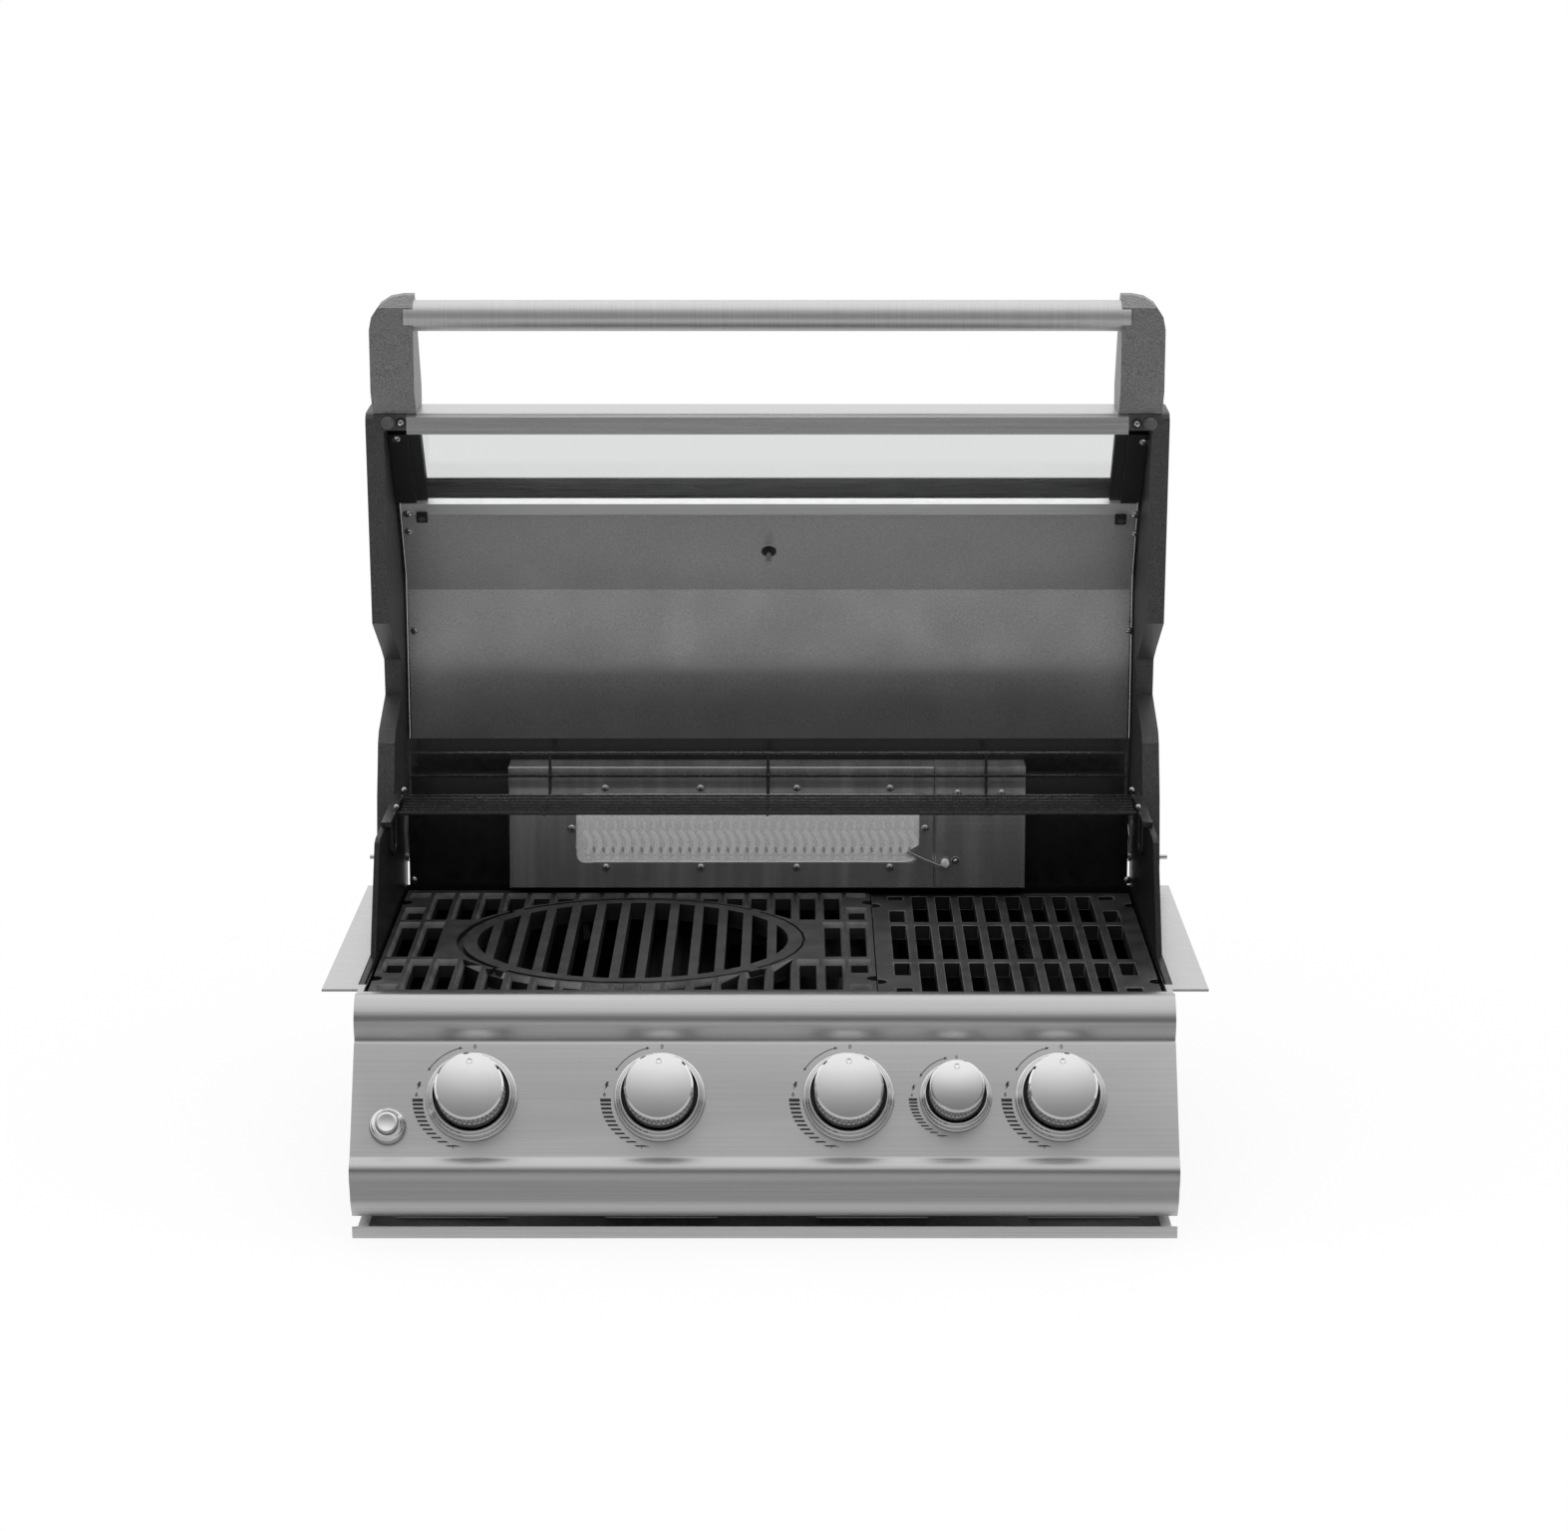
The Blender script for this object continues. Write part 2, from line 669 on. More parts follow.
def bezel_shape(radius, bore, scale):
    """A stepped ring with rounded treads, dark inside."""
    steps = (
        (0.0, 0.0003),
        (0.0, 0.0026),
        (0.0004, 0.0034),
        (0.0011, 0.0039),
        (0.0019, 0.0040),
        (0.0022, 0.0044),
        (0.0026, 0.0066),
        (0.0031, 0.0080),
        (0.0038, 0.0086),
        (0.0044, 0.0088),
        (0.0047, 0.0093),
        (0.0050, 0.0112),
        (0.0055, 0.0123),
        (0.0063, 0.0129),
        (0.0070, 0.0129),
    )
    rows = [(radius - inward * scale, height) for inward, height in steps]
    rows += [(bore + 0.0001, 0.0120), (bore, 0.0100), (bore, 0.0020), (0.0055, 0.0020), (0.0055, 0.0003)]
    rows.append((radius, 0.0003))
    bands = [0 if band <= len(steps) else 1 for band in range(len(rows))]
    return lathe(rows, 120, bands)


def add_knobs():
    for number in range(1, KNOB_COUNT + 1):
        place = axis_frame(f"knob_{number}_turn")
        radius, outer = half_width(f"knob_{number}"), half_width(f"bezel_{number}")
        scale = radius / half_width("knob_1")
        mesh = to_mesh("knob", knob_shape(radius), *KNOB_MATERIALS)
        knob = place_piece(f"knob_{number}_turned", mesh, place, f"knob_{number}")
        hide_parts(f"knob_{number}")
        up, reach = DIMPLE_RISE * scale, radius - KNOB_CHAMFER
        height = KNOB_SHOULDER + KNOB_DOME * (1 - (up / reach) ** 2)
        tilt = Matrix.Rotation(-2 * KNOB_DOME * up / reach**2, 4, "X")
        dimple = to_mesh("dimple", dimple_shape(), CHROME)
        where = place @ Matrix.Translation((0, up, height)) @ tilt
        place_piece(f"knob_{number}_dimple", dimple, where, f"knob_{number}")
        mesh = to_mesh("bezel", bezel_shape(outer, radius + BEZEL_GAP * scale, scale), CHROME, BLACK)
        bezel = place_piece(f"bezel_{number}_turned", mesh, place, "grill")
        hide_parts(f"bezel_{number}")


# Radius and height of the rows of the igniter's turned shapes
IGNITER_BEZEL = (
    (0, -0.0060),
    (0.0107, -0.0060),
    (0.0107, 0.0104),
    (0.0110, 0.0109),
    (0.0120, 0.0110),
    (0.0132, 0.0100),
    (0.0139, 0.0088),
    (0.0146, 0.0084),
    (0.0158, 0.0078),
    (0.0166, 0.0062),
    (0.0170, 0.0044),
    (0.0175, 0.0036),
    (0.0175, 0.0003),
    (0.0125, 0.0003),
    (0.0125, -0.0300),
    (0, -0.0300),
)
IGNITER_BUTTON = (
    (0, -0.0035),
    (0.0104, -0.0035),
    (0.0104, 0.0136),
    (0.0101, 0.0145),
    (0.0092, 0.0150),
    (0.0080, 0.0149),
    (0.0050, 0.0145),
    (0, 0.0143),
)


def add_igniter():
    place = axis_frame("igniter_push", -1)
    mesh = to_mesh("igniter", lathe(IGNITER_BEZEL, 72), CHROME)
    bezel = place_piece("igniter_bezel_turned", mesh, place, "grill")
    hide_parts("igniter_bezel")
    mesh = to_mesh("button", lathe(IGNITER_BUTTON, 60), CHROME)
    button = place_piece("igniter_button_turned", mesh, place, "igniter_button")
    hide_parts("igniter_button")


# Marks round the knobs: an arc with arrows, a bolt, a scale of bars and plain numbers


def oval(middle, reach, count):
    """Points all the way round an oval, with the first one given again at the end."""
    turns = [k * math.tau / count for k in range(count + 1)]
    return [(middle[0] + reach[0] * math.cos(a), middle[1] + reach[1] * math.sin(a)) for a in turns]


# Strokes and an outline in shares of their height
DIGITS = {
    "0": oval((0.30, 0.5), (0.26, 0.46), 16),
    "1": [(0.10, 0.78), (0.36, 0.97), (0.36, 0.02)],
    "6": [(0.50, 0.94), (0.28, 0.76), (0.10, 0.50)] + oval((0.31, 0.29), (-0.25, 0.27), 14),
}
DIGIT_MIDDLE = (0.3, 0.5)
DIGIT_STROKE = 0.17
BOLT = [(0.26, 1.0), (0.0, 0.45), (0.22, 0.50), (0.03, 0.0), (0.60, 0.62), (0.36, 0.60), (0.57, 1.0)]
BOLT_MIDDLE = (0.30, 0.5)

# Places and sizes of the marks round a large knob, in metres, with angles anticlockwise from the top
DIGIT_HEIGHT = 0.0038
PLAIN_NUMBERS = (("0", (0.0015, 0.0495)), ("6", (-0.0525, 0.0027)), ("1", (-0.0166, -0.0485)))
BOLT_HEIGHT = 0.0075
BOLT_REACH = 0.0515
BOLT_ANGLE = 77.5
ARC_RADIUS = 0.0495
ARC_START, ARC_END = 15.5, 55.5
ARC_STEPS = 12
ARC_WIDTH = 0.0007
ARROW_LENGTH = 0.0030
ARROW_HALF = 0.0014
BAR_COUNT = 12
FIRST_BAR = -0.0031
BAR_STEP = 0.00405
BAR_INNER = 0.0463
BAR_OUTER = 0.0564


def polar(radius, degrees):
    """A place on the panel's face, by its angle anticlockwise from the top."""
    angle = math.radians(degrees)
    return (-radius * math.sin(angle), radius * math.cos(angle))


def digit_outline(digit, middle, height):
    x, y = (place - share * height for place, share in zip(middle, DIGIT_MIDDLE))
    return ribbon([(x + a * height, y + b * height) for a, b in DIGITS[digit]], height * DIGIT_STROKE)


def scale_bars(scale):
    """Level bars between two circles that close on each other, from the left down to the foot."""
    outlines = []
    for number in range(BAR_COUNT):
        middle = FIRST_BAR - BAR_STEP * number
        half = 0.00155 if number == 0 else 0.00126 - 0.000055 * number
        inner = BAR_INNER + 0.00025 * number
        outer = BAR_OUTER - 0.0037 * (number / (BAR_COUNT - 1)) ** 3
        top, foot = middle + half, middle - half
        corners = [(-math.sqrt(outer**2 - y**2), y) for y in (top, foot)]
        corners += [(-math.sqrt(inner**2 - y**2), y) for y in (foot, top)]
        outlines.append([(x * scale, y * scale) for x, y in corners])
    return outlines


def arc_arrow(scale):
    """A thin arc with an arrow head at each end."""
    radius, turn = ARC_RADIUS * scale, ARC_END - ARC_START
    path = [polar(radius, ARC_START + turn * i / ARC_STEPS) for i in range(ARC_STEPS + 1)]
    outlines = [ribbon(path, ARC_WIDTH)]
    for angle, way in ((ARC_START, -1), (ARC_END, 1)):
        tip = polar(radius, angle + way * math.degrees(ARROW_LENGTH / radius))
        outlines.append([tip, polar(radius - ARROW_HALF, angle), polar(radius + ARROW_HALF, angle)])
    return outlines


def add_marks():
    for number in range(1, KNOB_COUNT + 1):
        scale = half_width(f"knob_{number}") / half_width("knob_1")
        outlines = scale_bars(scale) + arc_arrow(scale)
        size = BOLT_HEIGHT * scale
        x, y = polar(BOLT_REACH * scale, BOLT_ANGLE)
        outlines.append([(x + (a - BOLT_MIDDLE[0]) * size, y + (b - BOLT_MIDDLE[1]) * size) for a, b in BOLT])
        for digit, (x, y) in PLAIN_NUMBERS:
            outlines.append(digit_outline(digit, (x * scale, y * scale), DIGIT_HEIGHT * scale))
        shapes = [slab(outline, SURFACE_LIFT, MARK_THICKNESS) for outline in outlines]
        mesh = to_mesh("marks", joined(shapes), PRINT)
        place_piece(f"knob_{number}_marks", mesh, axis_frame(f"knob_{number}_turn"), "grill")


# Fittings of the lid


def lid_plane(y, z, way_y, way_z):
    """A plane fixed to the lid: a place in it and its normal."""
    return in_lid(0, y, z), lid_way(way_y, way_z)


# Planes of the lid that the camera sees fittings on
BLOCK_FOOT = lid_plane(-0.0200, 0.0053, 0, -1)
RAIL_FACE = lid_plane(0.0035, 0.047, 0.640, -0.768)
LINER_SLOPE = lid_plane(0.1023, 0.1346, 0.490, -0.871)
LINER_ROOF = lid_plane(0.25, 0.189, 0, -1)


def seen_at(pixels, plane):
    """Places on a plane where the photograph's pixels show it, each with the plane's normal."""
    return [(on_plane(px, py, *plane), plane[1]) for px, py in pixels]


BUMPER = ((0, 0), (0.0070, 0), (0.0070, 0.0022), (0.0062, 0.0031), (0.0046, 0.0036), (0, 0.0037))
WASHER_HEIGHT = 0.0010
WASHER = ((0, 0), (0.0052, 0), (0.0052, 0.0007), (0.0044, WASHER_HEIGHT), (0, WASHER_HEIGHT))
CLIP_HALF = 0.0060
CLIP_CORNER = 0.0012
CLIP_HEIGHT = 0.0055
CLIP_RECESS = ((0.0042, 0.0055), (0.0042, 0.0060), (0.0034, 0.0060), (0.0034, 0.0056), (0, 0.0056))


def clip_outline():
    """A square with its corners cut off."""
    outer, inner = CLIP_HALF, CLIP_HALF - CLIP_CORNER
    right_top = [(outer, inner), (inner, outer)]
    left_top = [(-inner, outer), (-outer, inner)]
    left_foot = [(-outer, -inner), (-inner, -outer)]
    return right_top + left_top + left_foot + [(inner, -outer), (outer, -inner)]


def add_lid_fittings():
    mesh = to_mesh("bumper", lathe(BUMPER, 32), RUBBER)
    for number, (place, normal) in enumerate(seen_at(((389, 424), (1154, 425)), BLOCK_FOOT)):
        place_piece(f"lid_bumper_{number + 1}", mesh, oriented(place, normal), "lid")
    mesh = to_mesh("washer", lathe(WASHER, 28), BLACK)
    bosses = seen_at(((402, 424), (1140.5, 425)), BLOCK_FOOT)
    for number, (place, normal) in enumerate(bosses):
        place_piece(f"boss_washer_{number + 1}", mesh, oriented(place, normal), "lid")
    on_washers = [(place + normal * WASHER_HEIGHT, normal) for place, normal in bosses]
    add_screws("boss_screw", on_washers, "lid", mesh=SMALL_SCREW)
    rails = seen_at(((397, 440), (409, 515), (1148, 443), (1139, 516)), RAIL_FACE)
    add_screws("rail_screw", rails, "lid", mesh=LARGE_SCREW)
    add_screws("liner_screw", seen_at(((410, 533), (1139, 535)), LINER_SLOPE), "lid")
    add_screws("roof_screw", seen_at(((416, 633), (1133, 633)), LINER_ROOF), "lid")
    for number, (place, normal) in enumerate(seen_at(((423.5, 517), (1124, 519)), RAIL_FACE)):
        recess = lathe(CLIP_RECESS, 6)
        for face in recess.faces:
            face.material_index = 1
        shape = joined([slab(clip_outline(), 0.0, CLIP_HEIGHT), recess])
        mesh = to_mesh("clip", shape, BLACK, RUBBER, smooth=20)
        place_piece(f"glass_clip_{number + 1}", mesh, oriented(place, normal), "lid")


def add_gauge_hole():
    """A dark hole with a faint rim, round the thermometer's probe."""
    place, normal = seen_at(((774.3, 553),), LINER_SLOPE)[0]
    place.x = 0
    rim = [(0.0032, 0.0001), (0.0078, 0.0001), (0.0080, 0.0005), (0.0084, 0.0005), (0.0088, 0.0)]
    mesh = to_mesh("gauge_hole", lathe(rim, 40, (1, 0, 0, 0)), SCREW, BLACK)
    place_piece("gauge_hole_rim", mesh, oriented(place, normal), "lid")


# Fittings of the rear burner


def front_of(node):
    """The upright plane of a node's nearest face."""
    return Vector((0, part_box(node)[0].y, 0)), Vector((0, -1, 0))


BURNER_FACE = front_of("rear_burner_housing")
PANE_FACE = front_of("rear_burner_radiant")
BACK_FACE = front_of("rear_wall")

# Places of the burner's screws, and sizes of its folds and its electrode
FRAME_SCREW_COLUMNS = (-0.171, -0.071, 0.030, 0.128)
FRAME_SCREW_ROWS = (0.110, 0.025)
SIDE_SCREWS = ((-0.207, 0.067), (0.165, 0.067), (0.199, 0.105), (0.245, 0.105))
FOLD_RADIUS = 0.0007
FOLD_LIFT = 0.0002
FOLD_INSET = 0.0006
COVER_FOLD_INSET = 0.0012
HOLDER = ((0, 0), (0.0044, 0), (0.0044, 0.0062), (0.0037, 0.0075), (0.0016, 0.0080), (0, 0.0080))
CUP = ((0, 0.0002), (0.0030, 0.0002), (0.0036, 0.0010), (0.0044, 0.0010), (0.0048, 0.0))
BALL = ((0.0026, 0.0004), (0.0025, 0.0014), (0.0018, 0.0023), (0.0008, 0.0027), (0, 0.0028))
WIRE_RADIUS = 0.0010
WIRE_LIFT = 0.0070
WIRE_DIP = 0.0040
TIP_RADIUS = 0.0016
TIP_HALF = 0.0014


def pixel_path(pixels, plane, lift=0.0):
    """Places over a plane where the photograph's pixels show it."""
    return [place + normal * lift for place, normal in seen_at(pixels, plane)]


def add_burner_fittings():
    def on_burner(x, z):
        return BURNER_FACE[0] + Vector((x, 0, at(0, 0, z).z)), BURNER_FACE[1]

    places = [on_burner(x, z) for z in FRAME_SCREW_ROWS for x in FRAME_SCREW_COLUMNS]
    places += [on_burner(x, z) for x, z in SIDE_SCREWS]
    add_screws("burner_screw", places, "grill")
    add_screws("wall_screw", seen_at(((415, 883), (1131, 883)), BACK_FACE), "grill")
    low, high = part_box("rear_burner_housing")
    cover_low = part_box("rear_burner_cover")[0]
    front = low.y - FOLD_LIFT
    upright = (low.x + FOLD_INSET, high.x - FOLD_RADIUS, cover_low.x + COVER_FOLD_INSET)
    folds = [[(x, front, low.z), (x, front, high.z)] for x in upright]
    top = high.z - FOLD_INSET
    folds.insert(1, [(low.x, front, top), (high.x, front, top)])
    shapes = [tube(path, FOLD_RADIUS, 6) for path in folds]
    tab = ((577.6, 823), (577.6, 850.5), (578.4, 852), (579.6, 852.6))
    foot = ((595, 864.6), (908, 864.8), (914, 863.8), (919, 861.5))
    shapes += [tube(pixel_path(pixels, BURNER_FACE, 0.0003), FOLD_RADIUS, 6) for pixels in (tab, foot)]
    mesh = to_mesh("folds", joined(shapes), EDGE_BRIGHT)
    place_piece("rear_burner_folds", mesh, Matrix(), "grill")
    tongue = pixel_path(((926, 845.5), (921.7, 847.8), (910, 854.3), (920.6, 861.5), (926, 864)), BURNER_FACE)
    mesh = to_mesh("tongue", plate(tongue, BURNER_FACE[1], -0.0010, 0.0003), BRIGHT)
    place_piece("electrode_tongue", mesh, Matrix(), "grill")
    ledge = pixel_path(((944.5, 826), (946, 835.2), (980, 834), (1018, 834.6), (1018, 826)), BURNER_FACE)
    mesh = to_mesh("cover_fold", plate(ledge, BURNER_FACE[1], -0.0005, 0.0007), BRIGHT)
    place_piece("rear_burner_cover_fold", mesh, Matrix(), "grill")


def add_electrode():
    """The rear burner's igniter: a ceramic holder, a bent wire and its screw."""
    place, normal = seen_at(((948, 865.5),), BURNER_FACE)[0]
    mesh = to_mesh("holder", lathe(HOLDER, 24), CERAMIC)
    place_piece("electrode_holder", mesh, oriented(place, normal), "grill")
    path = pixel_path(((947.5, 867.5), (941, 866.3), (925, 859.6), (911.5, 854)), BURNER_FACE, WIRE_LIFT)
    path[-1] -= normal * WIRE_DIP
    tip = tube([path[-1] - Vector((TIP_HALF, 0, 0)), path[-1] + Vector((TIP_HALF, 0, 0.0004))], TIP_RADIUS)
    mesh = to_mesh("electrode", joined([tube(path, WIRE_RADIUS), tip]), GRIP)
    place_piece("electrode_wire", mesh, Matrix(), "grill")
    place, normal = seen_at(((958.5, 863.5),), BURNER_FACE)[0]
    mesh = to_mesh("cup", lathe(CUP, 28, (1, 1, 0, 0)), GRIP, BLACK)
    place_piece("electrode_cup", mesh, oriented(place, normal), "grill")
    mesh = to_mesh("ball", lathe(BALL, 20), SCREW)
    place_piece("electrode_screw", mesh, oriented(place, normal), "grill")


# The radiant plate's pattern: columns of outlines in pixels of the photograph, and how far each is raised
COLUMN_COUNT = 35
COLUMN_START = 587.5
COLUMN_STEP = 9.6
CHEVRON = ((-1.5, 833.5), (1.8, 838), (4.6, 843.5), (4.8, 848.5), (3.0, 853.5), (2.4, 857))
CHEVRON_WIDTH = 4.4
CHEVRON_LIFT = 0.0004
BAR = ((0.2, 824), (2.6, 824), (2.6, 831), (0.2, 831))
DOT = ((1.2, 859.2), (4.4, 859.2), (4.4, 861.6), (1.2, 861.6))
BAR_LIFT = 0.0003
PIT_MIDDLE = (8.4, 852.5)
PIT_REACH = (1.5, 3.0)
PIT_LEAN = 0.5
PIT_SIDES = 10
PIT_LIFT = 0.0002


def add_chevrons():
    """Raised strokes on the radiant plate, with small dark pits between them."""

    def raised(pixels, lift):
        return plate(pixel_path(pixels, PANE_FACE), PANE_FACE[1], 0.0, lift)

    strokes, pits = [], []
    turns = [math.tau * k / PIT_SIDES for k in range(PIT_SIDES)]
    for number in range(COLUMN_COUNT):
        column = COLUMN_START + COLUMN_STEP * number
        line, bar, dot = ([(column + x, y) for x, y in outline] for outline in (CHEVRON, BAR, DOT))
        strokes.append(raised(ribbon(line, CHEVRON_WIDTH), CHEVRON_LIFT))
        strokes += [raised(bar, BAR_LIFT), raised(dot, BAR_LIFT)]
        x, y = column + PIT_MIDDLE[0], PIT_MIDDLE[1]
        across, down = PIT_REACH
        rim = [(x + across * math.cos(a), y + down * math.sin(a) + PIT_LEAN * math.cos(a)) for a in turns]
        pits.append(raised(rim, PIT_LIFT))
    mesh = to_mesh("strokes", joined(strokes), RADIANT_RIDGE)
    place_piece("radiant_strokes", mesh, Matrix(), "grill")
    mesh = to_mesh("pits", joined(pits), RADIANT_PIT)
    place_piece("radiant_pits", mesh, Matrix(), "grill")


# Fittings of the rack and the tray


BEAD_RADIUS = 0.0028
BEAD_INSET = 0.008
BEAD_RISE = 0.1125
BEAD_DEPTH = 0.3020
BEAD_DEPTH_STEP = 0.085
TRAY_SHEET = 0.0012
RIB_ROW = 1221.6
RIB_COLUMNS = ((397, 509), (608, 720), (819, 931), (1031, 1142))
RIB_RADIUS = 0.0011


def add_rack_beads():
    """Plated weld beads where the rack's front wire meets its side bars."""
    low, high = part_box("warming_rack")
    bead = [(BEAD_RADIUS * math.sin(a), BEAD_RADIUS * (1 - math.cos(a))) for a in (0.5, 1.0, 1.57, 2.1, 2.6)]
    mesh = to_mesh("bead", lathe([(0, 0), *bead, (0, 2 * BEAD_RADIUS)], 14), PLAIN_BRIGHT)
    for number, (x, way) in enumerate(((low.x + BEAD_INSET, 1), (high.x - BEAD_INSET, -1))):
        for row in range(2):
            seat = at(0, BEAD_DEPTH + BEAD_DEPTH_STEP * row, BEAD_RISE)
            place = Vector((x, seat.y, seat.z))
            matrix = oriented(place, Vector((way, -0.3, 0.6)))
            place_piece(f"rack_bead_{2 * number + row + 1}", mesh, matrix, "warming_rack")


def add_tray_ribs():
    """Four pressed ribs across the tray's floor."""
    floor = (Vector((0, 0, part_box("drip_tray")[0].z + TRAY_SHEET)), Vector((0, 0, 1)))
    paths = [pixel_path(((start, RIB_ROW), (end, RIB_ROW)), floor, 0.0002) for start, end in RIB_COLUMNS]
    shapes = [tube(path, RIB_RADIUS, 8) for path in paths]
    mesh = to_mesh("ribs", joined(shapes), EDGE_BRIGHT)
    place_piece("drip_tray_ribs", mesh, Matrix(), "drip_tray")


add_knobs()
add_igniter()
add_marks()
add_lid_fittings()
add_gauge_hole()
add_burner_fittings()
add_electrode()
add_chevrons()
add_rack_beads()
add_tray_ribs()

# Floor, light and camera


def band_ramp(tree, value, stops):
    """Grey levels at some places from 0 to 1 of a value, with straight lines between them."""
    ramp = tree.nodes.new("ShaderNodeValToRGB")
    elements = ramp.color_ramp.elements
    while len(elements) < len(stops):
        elements.new(0.5)
    for element, (where, level) in zip(elements, stops):
        element.position = where
        element.color = (level, level, level, 1)
    tree.links.new(value, ramp.inputs["Fac"])
    return ramp.outputs["Color"]


# Grey levels that mirrors see on the floor, by the share of the way from FLOOR_FAR to the origin
FLOOR_FAR = -3
FLOOR_BANDS = (
    (0.0, 0.22),
    (0.683, 0.22),
    (0.773, 0.22),
    (0.817, 0.48),
    (0.847, 0.42),
    (0.862, 0.26),
    (0.869, 0.30),
    (0.881, 0.75),
    (1.0, 0.75),
)
FLOOR_PATCH = ((0.0, 0.0), (0.49, 0.0), (0.52, 0.72), (0.67, 0.78), (0.72, 0.0), (1.0, 0.0))
FLOOR_HALF = 9
FLOOR_THICKNESS = 0.02
WHITE = (1, 1, 1, 1)


def add_floor():
    """White to the camera but for the shadow on it, and bands of light and dark to mirrors."""
    half = FLOOR_HALF
    shape = slab([(-half, -half), (half, -half), (half, half), (-half, half)], -FLOOR_THICKNESS, 0)
    shader = Shader("pale_floor", grey(0.82), 0.7)

    def join(kind, operation, *values):
        node = shader.add(kind, operation=operation)
        for socket, value in enumerate(values):
            shader.link(value, node.inputs[socket])
        return node.outputs[0]

    split = shader.add("ShaderNodeSeparateXYZ")
    shader.link(shader.place, split.inputs[0])
    depth = shader.span(split.outputs["Y"], 0, 1, FLOOR_FAR, 0)
    aside = join("ShaderNodeMath", "ABSOLUTE", split.outputs["X"])
    wide = shader.span(aside, 1.0, 0.4, 0.34, 0.48)
    bands, patch = (band_ramp(shader.tree, depth, stops) for stops in (FLOOR_BANDS, FLOOR_PATCH))
    bright = join("ShaderNodeVectorMath", "MULTIPLY", patch, wide)
    mirrored = join("ShaderNodeVectorMath", "ADD", bands, bright)
    path = shader.add("ShaderNodeLightPath").outputs
    tone = shader.add("ShaderNodeMixRGB")
    shader.link(path["Is Glossy Ray"], tone.inputs[0])
    tone.inputs[1].default_value = WHITE
    shader.link(mirrored, tone.inputs[2])
    glow = shader.add("ShaderNodeEmission")
    shader.link(tone.outputs[0], glow.inputs["Color"])
    seen = join("ShaderNodeMath", "MAXIMUM", path["Is Camera Ray"], path["Is Transmission Ray"])
    seen = join("ShaderNodeMath", "MAXIMUM", seen, path["Is Glossy Ray"])
    away = shader.add("ShaderNodeVectorMath", operation="LENGTH")
    shader.link(shader.place, away.inputs[0])
    share = join("ShaderNodeMath", "MULTIPLY", seen, shader.span(away.outputs["Value"], 0.9, 1.0, 0.5, 1.3))
    mix = shader.add("ShaderNodeMixShader")
    shader.link(share, mix.inputs[0])
    shader.link(shader.main.outputs[0], mix.inputs[1])
    shader.link(glow.outputs[0], mix.inputs[2])
    shader.link(mix.outputs[0], shader.tree.nodes["Material Output"].inputs["Surface"])
    floor = bpy.data.objects.new("floor", to_mesh("floor", shape, shader.material))
    bpy.context.scene.collection.objects.link(floor)


def add_light(name, place, target, width, height, power):
    data = bpy.data.lights.new(name, "AREA")
    data.shape = "RECTANGLE"
    data.size, data.size_y = width, height
    data.energy = power
    lamp = bpy.data.objects.new(name, data)
    lamp.visible_glossy = False
    bpy.context.scene.collection.objects.link(lamp)
    lamp.location = place
    lamp.rotation_euler = (Vector(target) - Vector(place)).to_track_quat("-Z", "Y").to_euler()


# Grey levels that mirrors see in the sky, from straight down at 0 to straight up at 1
FRONT_SKY = (
    (0.0, 0.20),
    (0.47, 0.16),
    (0.62, 0.16),
    (0.75, 0.24),
    (0.81, 0.36),
    (0.85, 0.52),
    (0.89, 0.72),
    (0.925, 0.92),
    (1.0, 1.0),
)
SKY_BLEND = 0.25
BACK_SKY = ((0.0, 0.60), (0.45, 0.75), (0.56, 0.95), (0.80, 0.95), (1.0, 1.0))


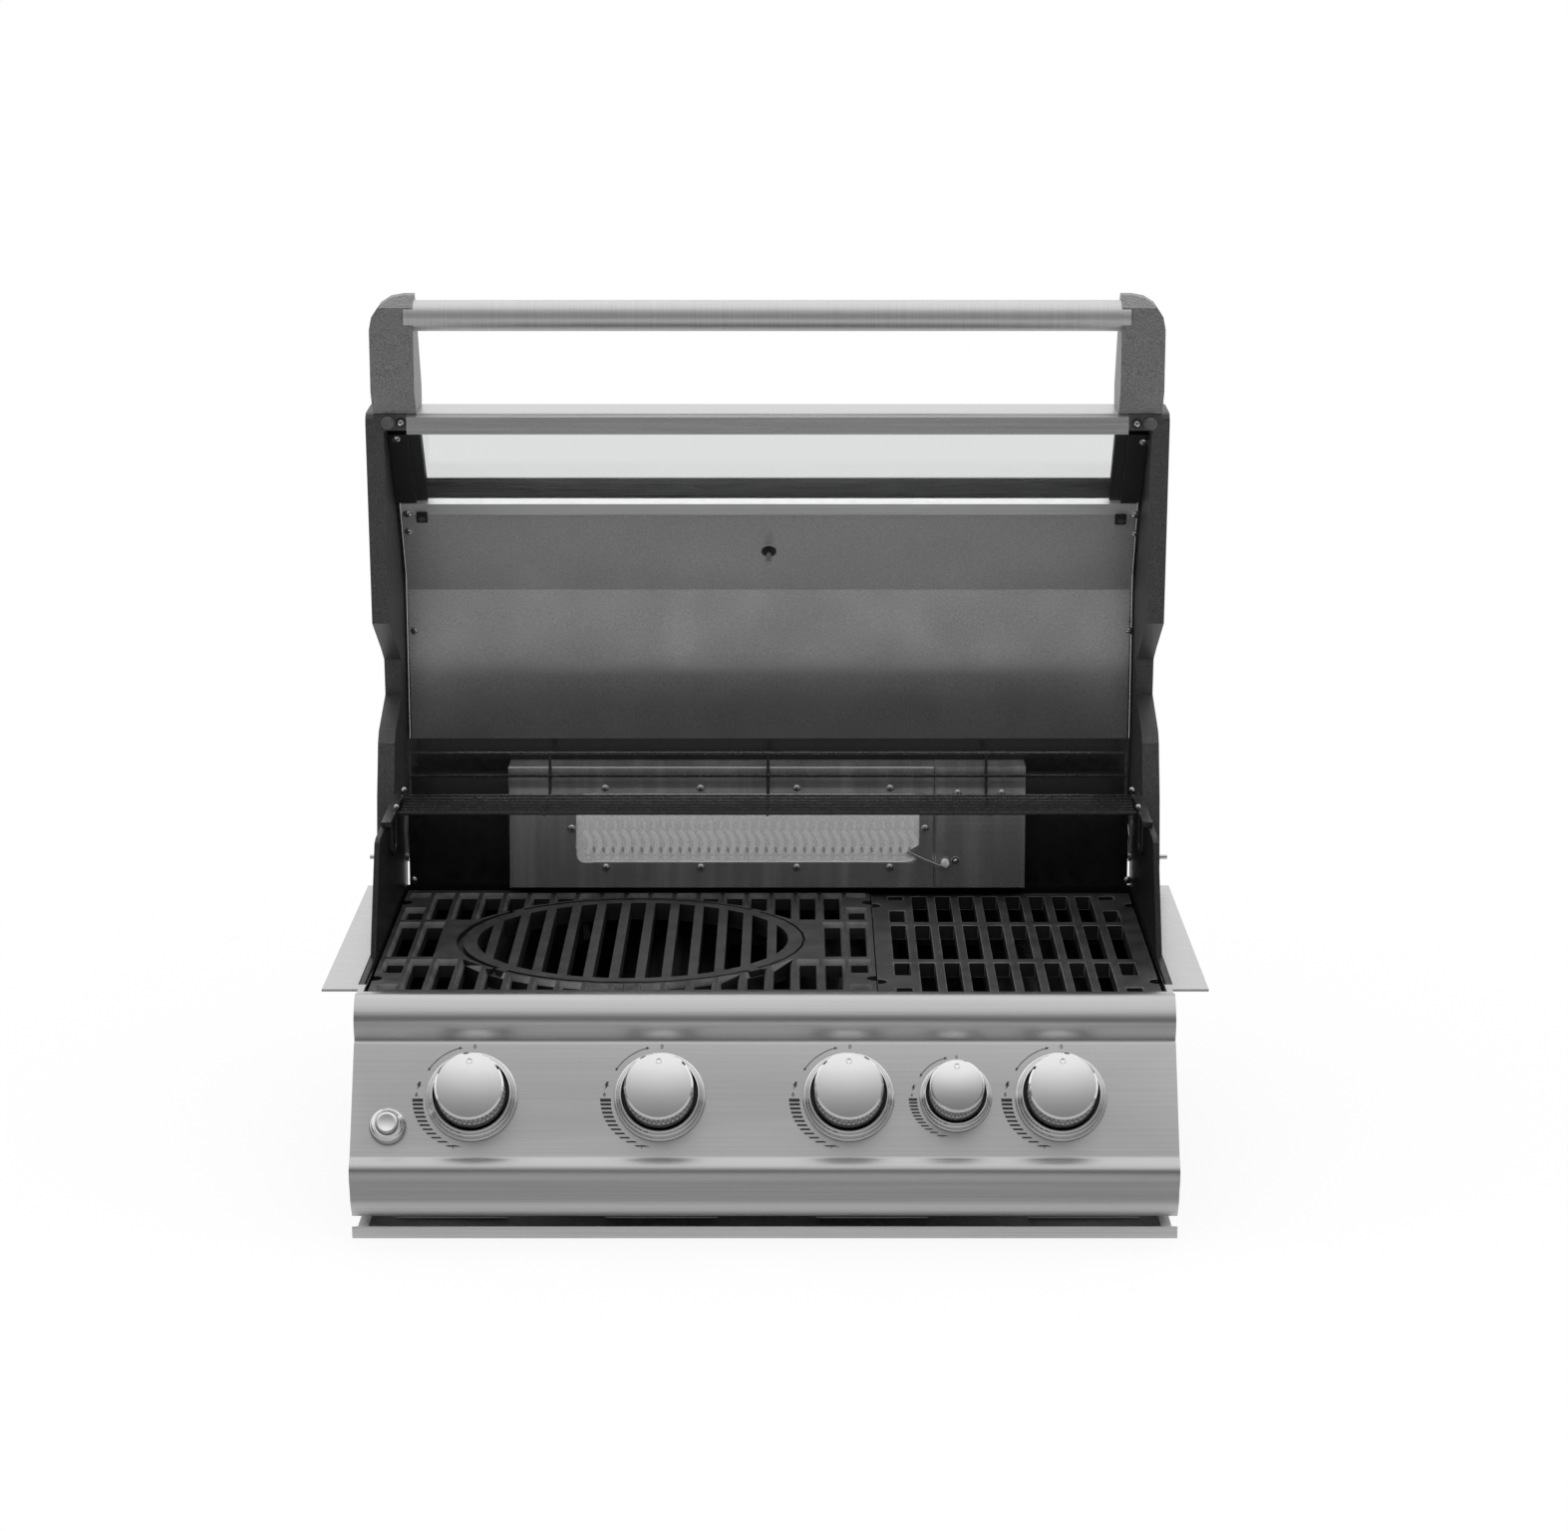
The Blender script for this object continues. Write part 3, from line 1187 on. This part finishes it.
def add_world():
    """White to the camera, and a studio of light and dark bands to reflections."""
    world = bpy.data.worlds.new("studio")
    bpy.context.scene.world = world
    world.use_nodes = True
    nodes, link = world.node_tree.nodes, world.node_tree.links.new
    background = nodes["Background"]
    place = nodes.new("ShaderNodeTexCoord").outputs["Generated"]
    split = nodes.new("ShaderNodeSeparateXYZ")
    link(place, split.inputs[0])
    bands = {}
    for side, stops in (("front", FRONT_SKY), ("back", BACK_SKY)):
        height = nodes.new("ShaderNodeMapRange")
        height.inputs["From Min"].default_value = -1
        link(split.outputs["Z"], height.inputs["Value"])
        bands[side] = band_ramp(world.node_tree, height.outputs["Result"], stops)
    depth = nodes.new("ShaderNodeMapRange")
    depth.inputs["From Min"].default_value = -SKY_BLEND
    depth.inputs["From Max"].default_value = SKY_BLEND
    link(split.outputs["Y"], depth.inputs["Value"])
    around = nodes.new("ShaderNodeMixRGB")
    link(depth.outputs["Result"], around.inputs[0])
    link(bands["front"], around.inputs[1])
    link(bands["back"], around.inputs[2])
    path = nodes.new("ShaderNodeLightPath")
    final = nodes.new("ShaderNodeMixRGB")
    seen = nodes.new("ShaderNodeMath")
    seen.operation = "MAXIMUM"
    link(path.outputs["Is Camera Ray"], seen.inputs[0])
    link(path.outputs["Is Transmission Ray"], seen.inputs[1])
    link(seen.outputs[0], final.inputs[0])
    link(around.outputs[0], final.inputs[1])
    final.inputs[2].default_value = WHITE
    link(final.outputs[0], background.inputs["Color"])


def add_camera():
    data = bpy.data.cameras.new("camera")
    data.sensor_width = SENSOR
    data.lens = SENSOR * FOCAL_PIXELS / PHOTO_WIDTH
    data.shift_x = (PHOTO_WIDTH / 2 - AXIS_X) / PHOTO_WIDTH
    camera = bpy.data.objects.new("camera", data)
    bpy.context.scene.collection.objects.link(camera)
    camera.location = CAMERA
    camera.rotation_euler = (math.pi / 2 - PITCH, 0, 0)
    bpy.context.scene.camera = camera


# Name, place, target, width, height and power of each lamp
LAMPS = (
    ("left", (-2.6, -0.9, 1.6), (0, 0, 0.4), 1.2, 1.2, 14),
    ("right", (2.6, -0.9, 1.6), (0, 0, 0.4), 1.2, 1.2, 12),
    ("top", (0, 0.3, 2.6), (0, 0, 0.3), 2.0, 1.2, 16),
    ("floor_patch", (0, -1.7, 2.0), (0, -1.7, 0), 1.6, 0.6, 18),
)

add_floor()
add_world()
for lamp_row in LAMPS:
    add_light(*lamp_row)
add_camera()
bpy.context.scene.view_settings.view_transform = "Standard"
